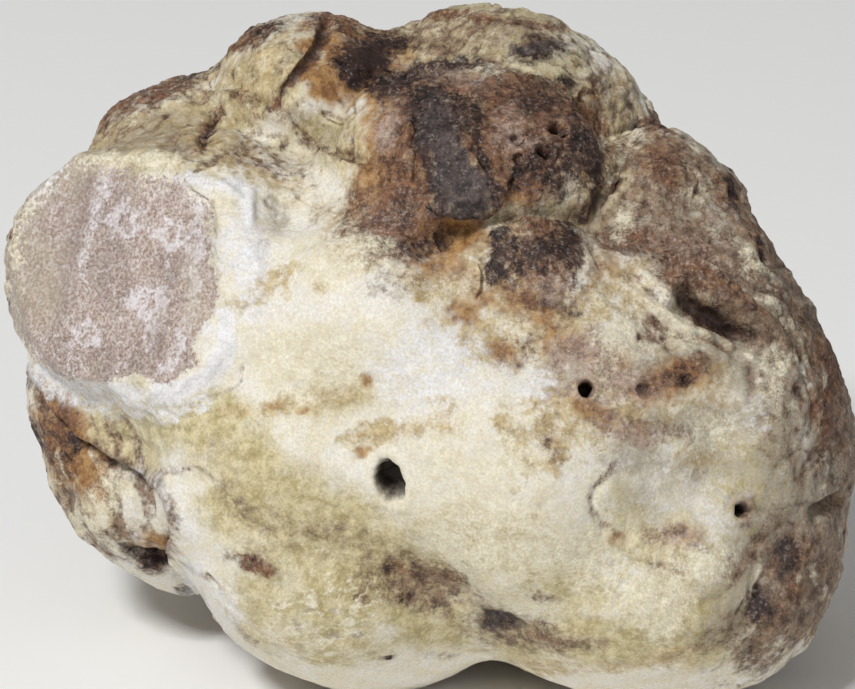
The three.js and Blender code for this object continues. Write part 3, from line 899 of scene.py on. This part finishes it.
def paint_low():
    """Spots and stains on the pale front and the two feet. The olive and umber low on the front are the
    skin's colour with painted shade over it.
    """
    stain("tan", 0.8, (-6.4, -3.7, 1, 0.9), (-6.6, -10.6, 2, 1.3, 30), (-15.5, -6.3, 2.2, 1.1, 20),
          (-20.5, -7, 2, 1))
    stain("orange", 0.6, (-6.9, -11.5, 1.2, 0.8, 20), (-15.8, -6.4, 1.2, 0.7), (-6.4, -3.7, 0.8, 0.7),
          (-13, -7, 1.6, 0.5, 20))
    # These two umber stains low on the front: brown skin with painted shade in its hollows.
    stain("umber", 0.4, (-2, -25.6, 7, 2.8, -15), (7.6, -29.6, 5.4, 2.4, -12), (2.5, -26, 5, 2, -10),
          (13, -31, 6, 2, -6))
    stain("umber", 0.36, (-1, -26.4, 5, 2.6, -15), (-1, -26.8, 3, 1.8, -15), (9, -30, 7, 2.4, -10))
    stain("slate", 0.75, (7.6, -29.7, 2.4, 1, -14))
    # Olive along the lower rim: the skin's olive with painted shade.
    stain("olive", 0.8, (0, -28, 9, 3, -12), (14, -31.4, 9, 2.4, -4), (26, -31, 8, 2.4, 10),
          (30, -27, 6, 2, 40))
    stain("olive", 0.5, (22, -19, 3, 5, 20), (27, -25, 3, 4, 30), (5, -20, 5, 3, -20), (16, -26, 5, 3))
    stain("umber", 0.2, (12, -10, 3.4, 3.6))
    stain("brown", 0.55, (-3, -24, 2.6, 1.4, -15), (2.5, -25, 2, 0.8, -10), (-6.8, -27, 1.2, 1),
          (12, -26.5, 1.8, 0.7, -10))
    stain("dark", 0.75, (7.4, -29.6, 2.2, 1.1, -12), (-2.2, -26.8, 1.2, 0.9), (-3.6, -23.8, 0.9, 0.5),
          (-4.2, -33, 1, 0.3))
    stain("brown", 0.35, (12, -31, 3.4, 1, -8), (5, -27.8, 2, 0.7, -20), (2, -32.6, 2.4, 0.5, 5),
          (17, -31.4, 2.6, 1), (8.6, -9.3, 0.6, 0.4), (12.3, -7.8, 0.5, 0.8), (12.5, -10.4, 0.4, 0.5),
          (14, -12.3, 0.5, 0.5))
    stain("olive", 0.6, (-13, -27, 8, 5, 20), (-8, -32, 7, 2.4))
    stain("olive", 1, (-10, -30.5, 1.3, 1), (-11, -33, 1.6, 0.8), (17, -29.7, 3, 1.4), (4.6, -20.5, 1.2, 1))
    stain("grey", 0.6, (-10, -30.5, 0.9, 0.7), (-13.6, -29.6, 0.8, 0.7), (-12, -27.4, 1, 0.6, 30),
          (-7.4, -30.4, 0.8, 0.6))
    stain("grey", 0.5, (-13.4, -31.6, 0.7, 0.6), (-9.6, -28, 0.8, 0.6), (-15.4, -27.6, 0.9, 0.6, 40),
          (-6, -32.4, 1, 0.5))
    stain("tan", 0.6, (9, -9.3, 1.2, 3.2, 25), (12.6, -10, 1.4, 3.6, 10), (9.3, -15.3, 0.8, 0.5),
          (11.3, -18, 0.6, 0.5))
    stroke("tan", 0.6, 0.8, (-9, -10), (-6.8, -8.8), (-4, -8.5))
    stroke("tan", 0.6, 0.7, (7.6, -8), (9.5, -11.5), (13, -13), (14.6, -10))
    # Umber along the valley across the lower front: olive skin with painted shade in the valley.
    stroke("umber", 0.3, 1.8, (-21, -16), (-18, -19), (-13, -20.8), (-7, -21), (-3, -22.8), (2, -24.6))


def paint_network(kind, place, radii, amount, size):
    """Thin lines that wander between cells, as in a cracked crust."""
    rows, _, ring = front_rows(place, radii, 1.3, 0.1)
    lines = np.abs(MOTTLE.layered(skin.home[rows], size, 2))
    skin.paint(kind, amount * smooth_step(lines, 0.34, 0.0) * smooth_step(ring, 1.25, 0.6), rows)


def paint_networks():
    """Cracked crust on the crown and the right, and lace on the pale front."""
    paint_network("butter", (-11, -29.5), (8, 6), 0.8, 1.5)
    paint_network("dust", (11, 19), (7, 8), 0.35, 0.8)
    paint_network("dust", (11, 8), (7, 4), 0.3, 0.8)
    paint_network("dust", (-3, 13), (6, 5), 0.35, 0.8)
    paint_network("tan", (11, -10), (6, 6), 0.5, 2.0)
    paint_network("brown", (14, 2), (8, 6), 0.2, 1.3)
    paint_network("tan", (26, -7), (12, 9), 0.45, 1.8)
    paint_network("dust", (27, 9), (10, 8), 0.5, 0.9)
    paint_network("dust", (38, -22), (5, 9), 0.4, 0.9)
    paint_network("brown", (22, 16), (7, 6), 0.3, 1.2)


def paint_flesh():
    """White veins in the worn patch: fuzzy rings, streaks, and a fine marbling."""
    for across, up, radius in ((-32, 13, 1.3), (-27.4, 11.4, 1.1), (-29.4, 4.4, 1.4), (-36, 1, 1.1)):
        rows, _, ring = front_rows((across, up), (radius, radius), 3.0, 0.1)
        home = skin.home[rows]
        ring += 0.7 * MOTTLE.layered(home, 1.1, 3) - 1
        spokes = smooth_step(ring, 1.4, 0.1) * smooth_step(np.abs(MOTTLE(home + 12.0, 0.9)), 0.3, 0.0)
        skin.paint("vein", 0.62 * smooth_step(np.abs(ring), 0.7, 0.0) + 0.4 * spokes, rows)
    stroke("grey", 0.9, 1.4, (-35.6, 18.5), (-37, 14), (-37.8, 10), (-38.8, 5))
    stroke("grey", 0.5, 1, (-31.6, 18), (-33, 12), (-34.6, 5))
    stroke("grey", 0.6, 0.9, (-26, 9), (-28, 4), (-29, -1))
    stroke("vein", 0.45, 0.8, (-34, 18.4), (-35, 14), (-35.8, 11), (-36.6, 8))
    stroke("vein", 0.4, 1, (-29.6, 18.6), (-27, 18.4), (-24.6, 16))
    stroke("vein", 0.45, 0.9, (-24, 14), (-24.6, 9), (-25, 3), (-27.4, -2.6))
    marbling = np.abs(MOTTLE.layered(skin.home, 3.4, 3))
    skin.paint("vein", 0.45 * smooth_step(marbling, 0.2, 0.02) * skin.shown)
    stain("chalk", 0.8, (-23.6, 2.4, 0.9, 2.2, 10), (-38.5, 17, 3, 0.9, 50))


def paint_mottling():
    """Blotches of a few millimetres on the gnarled skin, and umber along its fold lines."""
    gnarl = gnarled() * (1 - skin.masks["dark"])
    for kind, amount, size in (("umber", 0.45, 1.7), ("butter", 0.34, 2.3), ("tan", 0.5, 1.5),
                               ("olive", 0.4, 3.1), ("brown", 0.35, 0.9)):
        blotches = MOTTLE.layered(skin.home + 17.0 * size, size, 3)
        skin.paint(kind, amount * gnarl * smooth_step(blotches, 0.05, 0.75))
    # umber along the fold lines that the relief carves in
    skin.paint("umber", 0.6 * fold_lines())


HALO_ROUNDS = 18  # how many cells the rusty rims reach


def paint_halos():
    """Rusty rims where brown skin fades into pale skin."""
    halo = np.maximum(skin.masks["brown"], skin.masks["dark"])
    for _ in range(HALO_ROUNDS):
        halo = np.maximum(0.97 * skin.around(halo), halo * 0.999)
    skin.paint("orange", 0.62 * halo)


def paint_skin():
    """Paints the masks. The mottling, halos and scabs read the masks that come before them."""
    paint_hidden_sides()
    paint_washes()
    paint_crown()
    paint_scar()
    paint_hollow()
    paint_top()
    paint_right()
    paint_left()
    paint_low()
    paint_networks()
    paint_mottling()
    paint_halos()
    paint_flesh()
    masks = skin.masks
    skin.paint("scab", 0.8 * masks["brown"] + 0.4 * masks["dark"] + 0.4 * masks["umber"])


# ---------------------------------------------------------------- the shape of the hidden sides

def hidden_place(sight, draw):
    """A place, seen from one side, that the camera doesn't see."""
    while True:
        place = draw.uniform((-24, -24), (24, 24))
        point = sight.seen(*place)[0]
        gap = skin.home - point
        if skin.shown[np.argmin(np.einsum("ij,ij->i", gap, gap))] < 0.05:
            return place


HIDDEN_TURNS = (75, 110, 150, 195, 240, 285)  # the sides that are carved, in degrees from the front
HIDDEN_RISE = math.radians(18)
HIDDEN_BULGES = 5
HIDDEN_PITS = 3
HIDDEN_CRACKS = 4


def carve_hidden_sides():
    """Bulges, holes, cracks and folds all round, so that no side is left plain."""
    draw = np.random.RandomState(5)
    for turn in HIDDEN_TURNS:
        sight = Sight(math.radians(turn), HIDDEN_RISE)
        for _ in range(HIDDEN_BULGES):
            place = hidden_place(sight, draw)
            bulge(place, draw.uniform(2.5, 6.0, 2), draw.uniform(-1.8, 1.2), draw.uniform(0, 180), sight)
        for _ in range(HIDDEN_PITS):
            size = draw.uniform(0.6, 1.0)
            radii = (size, size * draw.uniform(0.8, 1.1))
            pit(hidden_place(sight, draw), radii, draw.uniform(1.4, 2.8), rough=0.08, sight=sight)
        for _ in range(HIDDEN_CRACKS):
            heading = draw.uniform(0, math.tau)
            bend = draw.uniform(-0.9, 0.9)
            corners = [hidden_place(sight, draw)]
            for step in range(3):
                angle = heading + bend * step
                reach = draw.uniform(2.0, 4.5)
                corners.append(corners[-1] + reach * np.array((math.cos(angle), math.sin(angle))))
            groove(corners, draw.uniform(0.35, 0.8), draw.uniform(0.8, 2.0), sight=sight)
            lip(corners[::-1], draw.uniform(0.4, 1.2), 1.2, 0.2, sight=sight)


# ---------------------------------------------------------------- material

class Nodes:
    """Short ways to add nodes to a material."""

    def __init__(self, tree):
        self.tree = tree

    def add(self, kind, settings=(), **inputs):
        """A node with some settings. An input is given by its name, or as i and its number."""
        node = self.tree.nodes.new(kind)
        for name, value in dict(settings).items():
            setattr(node, name, value)
        for name, value in inputs.items():
            socket = node.inputs[int(name[1:]) if name[1:].isdigit() else name]
            if isinstance(value, bpy.types.NodeSocket):
                self.tree.links.new(value, socket)
            else:
                socket.default_value = value
        return node

    def maths(self, operation, first, second=0.0, third=0.0):
        node = self.add("ShaderNodeMath", {"operation": operation}, i0=first, i1=second, i2=third)
        return node.outputs[0]

    def spread(self, value, low, high, to_low=0.0, to_high=1.0):
        """An easy rise from one value to another."""
        node = self.add("ShaderNodeMapRange", {"interpolation_type": "SMOOTHSTEP"},
                        i0=value, i1=low, i2=high, i3=to_low, i4=to_high)
        return node.outputs[0]

    def mix(self, share, first, second, blend="MIX"):
        node = self.add("ShaderNodeMix", {"data_type": "RGBA", "blend_type": blend},
                        i0=share, i6=first, i7=second)
        return node.outputs[2]

    def noise(self, place, size, detail=3.0, roughness=0.6, distortion=0.0):
        """Cloudy noise with blotches of about the given size in millimetres."""
        node = self.add("ShaderNodeTexNoise", Vector=place, Scale=1.0 / size, Detail=detail,
                        Roughness=roughness, Distortion=distortion)
        return node.outputs[0]

    def grey(self, value):
        return self.add("ShaderNodeCombineColor", i0=value, i1=value, i2=value).outputs[0]

    def mask(self, name):
        node = self.add("ShaderNodeAttribute", {"attribute_name": name})
        return node.outputs["Fac"]


# For each mask: its light and dark tones, the size of its blotches, how far they wander, and
# how soft their edges are.
TONES = [
    ("olive", (0.66, 0.575, 0.35), (0.39, 0.32, 0.15), 3.0, 0.6, 0.5),
    ("tan", (0.62, 0.50, 0.29), (0.38, 0.28, 0.14), 1.3, 1.0, 0.45),
    ("grey", (0.42, 0.37, 0.29), (0.23, 0.19, 0.14), 1.4, 0.7, 0.45),
    ("umber", (0.31, 0.21, 0.135), (0.085, 0.048, 0.033), 1.1, 1.0, 0.5),
    ("orange", (0.48, 0.28, 0.11), (0.20, 0.085, 0.028), 1.2, 0.6, 0.4),
    ("brown", (0.25, 0.12, 0.066), (0.05, 0.022, 0.015), 0.8, 1.1, 0.5),
    ("dark", (0.07, 0.036, 0.030), (0.008, 0.005, 0.005), 0.8, 0.9, 0.5),
    ("slate", (0.12, 0.092, 0.085), (0.024, 0.018, 0.018), 0.5, 0.8, 0.5),
    ("dust", (0.50, 0.38, 0.31), (0.20, 0.12, 0.09), 0.4, 1.3, 0.3),
    ("butter", (0.80, 0.75, 0.60), (0.65, 0.58, 0.41), 1.2, 0.8, 0.45),
    ("chalk", (0.81, 0.80, 0.80), (0.69, 0.67, 0.66), 0.8, 0.8, 0.4),
]
CREAM = (0.79, 0.76, 0.69, 1.0)
BUTTER = (0.74, 0.67, 0.50, 1.0)
FLESH = (0.56, 0.48, 0.44, 1.0)
FLESH_LOW = (0.27, 0.185, 0.145, 1.0)
FLESH_CREAM = (0.46, 0.40, 0.29, 1.0)
CRUMB = (0.42, 0.33, 0.28, 1.0)
FLESH_GREY = (0.30, 0.24, 0.21, 1.0)
VEIN = (0.76, 0.72, 0.74, 1.0)
# near-black painted shade for holes, creases and the undersides of folds
HOLE_SHADE = (0.035, 0.02, 0.016, 1.0)

BUMP_STRENGTH = 0.75
BUMP_HEIGHT = 0.12 * MM
SPECULAR = 0.28
GLOW = 0.12  # share of the light that goes a little way in and comes out again
GLOW_REACH = (1.0, 0.7, 0.45)  # how far red, green and blue go, against each other
GLOW_SCALE = 1.2 * MM


def flesh_colour(nodes, place):
    """Pinkish-brown marbled flesh: dark grains and pale veins."""
    grain = nodes.spread(nodes.noise(place, 0.33, 3.0, 0.8), 0.36, 0.64)
    blotch = nodes.spread(nodes.noise(place, 5.0, 4.0, 0.7), 0.35, 0.65, 0.85, 1.12)
    colour = nodes.mix(grain, FLESH_LOW, FLESH)
    colour = nodes.mix(1.0, colour, nodes.grey(blotch), "MULTIPLY")
    wander = nodes.spread(nodes.noise(place, 0.6, 5.0, 0.8), 0.3, 0.7, -0.4, 0.4)
    vein = nodes.spread(nodes.maths("ADD", nodes.mask("vein"), wander), 0.1, 0.9, 0.0, 0.8)
    colour = nodes.mix(vein, colour, VEIN)
    colour = nodes.mix(nodes.maths("MULTIPLY", nodes.mask("grey"), 0.4), colour, FLESH_GREY)
    return nodes.mix(nodes.maths("MULTIPLY", nodes.mask("butter"), 0.55), colour, FLESH_CREAM)


def skin_colour(nodes, place):
    """Cream and butter skin under its stains, with pale crumbs on the scabbed crust."""
    smear = nodes.noise(place, 3.2, 8.0, 0.72, 0.6)
    colour = nodes.mix(nodes.spread(smear, 0.36, 0.66), CREAM, BUTTER)
    shade = nodes.spread(nodes.noise(place, 1.4, 8.0, 0.8), 0.38, 0.62)
    for name, light, dark, blotch, wander, soft in TONES:
        tone = nodes.mix(shade, (*dark, 1.0), (*light, 1.0))
        mask = nodes.mask(name)
        drift = nodes.spread(nodes.noise(place, blotch, 8.0, 0.78), 0.3, 0.7, -0.5, 0.5)
        field = nodes.maths("MULTIPLY_ADD", drift, wander, mask)
        inside = nodes.spread(field, 0.5 - soft, 0.5 + soft)
        weight = nodes.maths("MULTIPLY", inside, nodes.spread(mask, 0.0, 0.5))
        colour = nodes.mix(weight, colour, tone)
    crumbs = nodes.spread(nodes.noise(place, 0.5, 3.0, 0.7), 0.54, 0.68, 0.0, 0.55)
    return nodes.mix(nodes.maths("MULTIPLY", crumbs, nodes.mask("scab")), colour, CRUMB)


def whole_colour(nodes, place):
    """The skin's colour, worn to the flesh on the patch, finely specked, and darkened with painted shade in
    the holes, creases and under the folds.
    """
    grain = nodes.noise(place, 0.5, 4.0, 0.75)
    flesh = nodes.maths("ADD", nodes.mask("flesh"), nodes.spread(grain, 0.35, 0.65, -0.3, 0.3))
    worn = nodes.spread(flesh, 0.3, 0.7)
    colour = nodes.mix(worn, skin_colour(nodes, place), flesh_colour(nodes, place))
    darkest = nodes.maths("MULTIPLY_ADD", nodes.mask("scab"), -0.25, 0.85)
    speck = nodes.spread(nodes.noise(place, 0.3, 3.0, 0.8), 0.32, 0.68, darkest, 1.09)
    colour = nodes.mix(1.0, colour, nodes.grey(speck), "MULTIPLY")
    # painted shade in the holes, creases and under the folds
    cavity_shade = nodes.maths("ADD", nodes.mask("cavity_shade"), nodes.spread(grain, 0.3, 0.7, -0.1, 0.1))
    return nodes.mix(nodes.spread(cavity_shade, 0.15, 1.0, 0.0, 0.94), colour, HOLE_SHADE)


def skin_roughness(nodes, place):
    """Waxy in places and dull in others, and dullest on the scabbed crust."""
    gloss = nodes.spread(nodes.noise(place, 1.4, 3.0), 0.3, 0.7, 0.46, 0.62)
    return nodes.maths("ADD", gloss, nodes.maths("MULTIPLY", nodes.mask("scab"), 0.12))


def skin_relief(nodes, place):
    """The finest grain, too small for the mesh."""
    grit = nodes.noise(place, 0.35, 4.0, 0.65)
    lumps = nodes.maths("MULTIPLY", nodes.noise(place, 1.3, 3.0, 0.55), 0.8)
    relief = nodes.maths("ADD", grit, lumps)
    bump = nodes.add("ShaderNodeBump", Strength=BUMP_STRENGTH, Distance=BUMP_HEIGHT, Height=relief)
    return bump.outputs[0]


def truffle_material():
    material = bpy.data.materials.new("truffle_skin")
    material.use_nodes = True
    tree = material.node_tree
    tree.nodes.clear()
    nodes = Nodes(tree)
    metres = nodes.add("ShaderNodeTexCoord").outputs["Object"]
    scaled = nodes.add("ShaderNodeVectorMath", {"operation": "SCALE"}, Vector=metres, Scale=1.0 / MM)
    place = scaled.outputs[0]
    shader = nodes.add("ShaderNodeBsdfPrincipled", Roughness=skin_roughness(nodes, place),
                       Normal=skin_relief(nodes, place))
    shader.inputs["Base Color"].default_value = CREAM
    tree.links.new(whole_colour(nodes, place), shader.inputs["Base Color"])
    shader.inputs["Specular IOR Level"].default_value = SPECULAR
    shader.inputs["Subsurface Weight"].default_value = GLOW
    shader.inputs["Subsurface Radius"].default_value = GLOW_REACH
    shader.inputs["Subsurface Scale"].default_value = GLOW_SCALE
    nodes.add("ShaderNodeOutputMaterial", Surface=shader.outputs[0])
    return material


# ---------------------------------------------------------------- building the piece

def shape_skin():
    """Paints and carves the skin. Each round of carving follows the normals that the last one left."""
    paint_skin()
    carve_lobes()
    carve_hidden_sides()
    skin.refresh()
    carve_folds()
    skin.refresh()
    carve_creases()
    skin.refresh()
    wear_patch()
    skin.refresh()
    scratch_patch()
    draw_streaks()
    roughen()
    relax_tangles()
    skin.refresh()
    carve_holes()
    skin.points[:, 2] = np.maximum(skin.points[:, 2], 0.0)


def build_skin():
    mesh = bpy.data.meshes.new("truffle_skin")
    mesh.from_pydata((skin.points * MM).tolist(), [], skin.quads.tolist())
    layer = mesh.uv_layers.new(name="OFBake")
    layer.uv.foreach_set("vector", skin.places.astype(np.float32).ravel())
    mesh.polygons.foreach_set("use_smooth", np.ones(len(mesh.polygons), bool))
    for name, mask in skin.masks.items():
        attribute = mesh.attributes.new(name, "FLOAT", "POINT")
        attribute.data.foreach_set("value", mask.astype(np.float32))
    mesh.materials.append(truffle_material())
    mesh.update()
    piece = bpy.data.objects.new("truffle_skin", mesh)
    bpy.context.scene.collection.objects.link(piece)
    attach(piece, "root")
    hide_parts("truffle")
    return piece


# ---------------------------------------------------------------- floor, light and camera

FLOOR_SIZE = 3.0
FLOOR_TONE = (0.93, 0.93, 0.92, 1.0)
FLOOR_ROUGHNESS = 0.8
LAMP_DISTANCE = 1.4  # from the middle of the truffle
LAMPS = {
    # Turn from the front and rise above the ground in degrees, size in metres, power in watts.
    "key": (-34, 50, 0.28, 15.2),
    "fill": (35, 20, 0.8, 1.4),
}
SKY_TONE = (1.0, 1.0, 1.0, 1.0)
SKY_STRENGTH = 0.26
SENSOR_WIDTH = 36.0


def lay_floor():
    mesh = bpy.data.meshes.new("floor")
    half = FLOOR_SIZE / 2
    corners = [(-half, -half, 0), (half, -half, 0), (half, half, 0), (-half, half, 0)]
    mesh.from_pydata(corners, [], [(0, 1, 2, 3)])
    floor = bpy.data.objects.new("floor", mesh)
    bpy.context.scene.collection.objects.link(floor)
    material = bpy.data.materials.new("pale_floor")
    material.use_nodes = True
    shader = material.node_tree.nodes["Principled BSDF"]
    shader.inputs["Base Color"].default_value = FLOOR_TONE
    shader.inputs["Roughness"].default_value = FLOOR_ROUGHNESS
    mesh.materials.append(material)


def add_light(name, turn, rise, size, power):
    """A soft square light, aimed at the middle of the truffle."""
    light = bpy.data.lights.new(name, "AREA")
    light.size = size
    light.energy = power
    lamp = bpy.data.objects.new(name, light)
    aim = Sight(math.radians(turn), math.radians(rise)).out
    lamp.location = (MIDDLE * MM + aim * LAMP_DISTANCE).tolist()
    lamp.rotation_euler = Vector(aim).to_track_quat("Z", "Y").to_euler()
    bpy.context.scene.collection.objects.link(lamp)


def light_studio():
    for name, (turn, rise, size, power) in LAMPS.items():
        add_light(name, turn, rise, size, power)
    world = bpy.data.worlds.new("studio")
    world.use_nodes = True
    background = world.node_tree.nodes["Background"]
    background.inputs["Color"].default_value = SKY_TONE
    background.inputs["Strength"].default_value = SKY_STRENGTH
    bpy.context.scene.world = world
    bpy.context.scene.view_settings.view_transform = "Standard"


def place_camera():
    data = bpy.data.cameras.new("camera")
    data.sensor_width = SENSOR_WIDTH
    data.lens = data.sensor_width * SIGHT_DISTANCE / SIGHT_WIDTH
    camera = bpy.data.objects.new("camera", data)
    camera.location = (FRONT.eye * MM).tolist()
    camera.rotation_euler = (math.pi / 2 - SIGHT_RISE, 0.0, 0.0)
    bpy.context.scene.collection.objects.link(camera)
    bpy.context.scene.camera = camera


shape_skin()
build_skin()
lay_floor()
light_studio()
place_camera()
